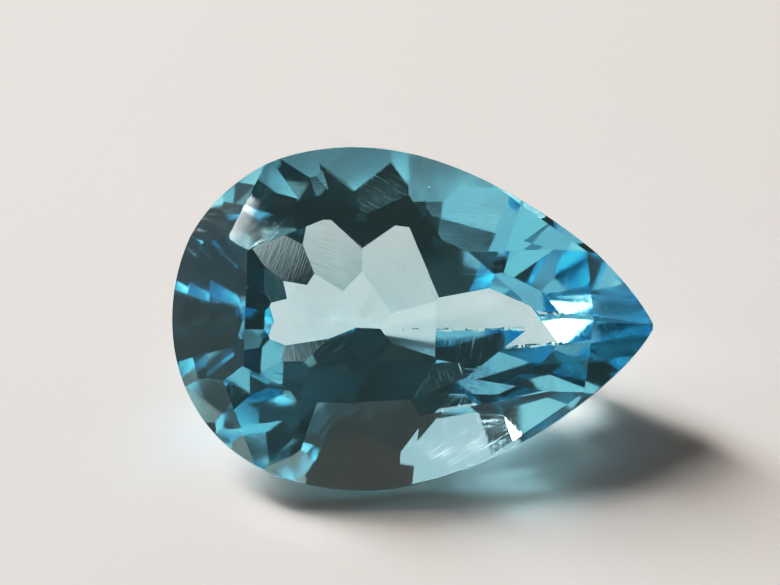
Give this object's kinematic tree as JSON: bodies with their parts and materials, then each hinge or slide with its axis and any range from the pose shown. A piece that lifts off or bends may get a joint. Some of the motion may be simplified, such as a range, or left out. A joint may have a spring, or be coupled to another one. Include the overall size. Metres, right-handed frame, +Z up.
{
  "type": "pear-cut blue topaz gemstone",
  "caption": "Loose teardrop-shaped faceted blue gem, see-through, lying on a pavilion facet with its table facing the viewer.",
  "frame": {"origin": "under the middle of the lying stone, on the surface it lies on", "axes": "+Z up; +X along the stone towards its point; the table leans towards -Y"},
  "size_m": [0.018, 0.0102, 0.0093],
  "materials": {
    "blue_topaz": "polished facets, finely ground girdle"
  },
  "bodies": {
    "root": {"pear_cut_topaz": "blue_topaz"}
  },
  "joints": []
}
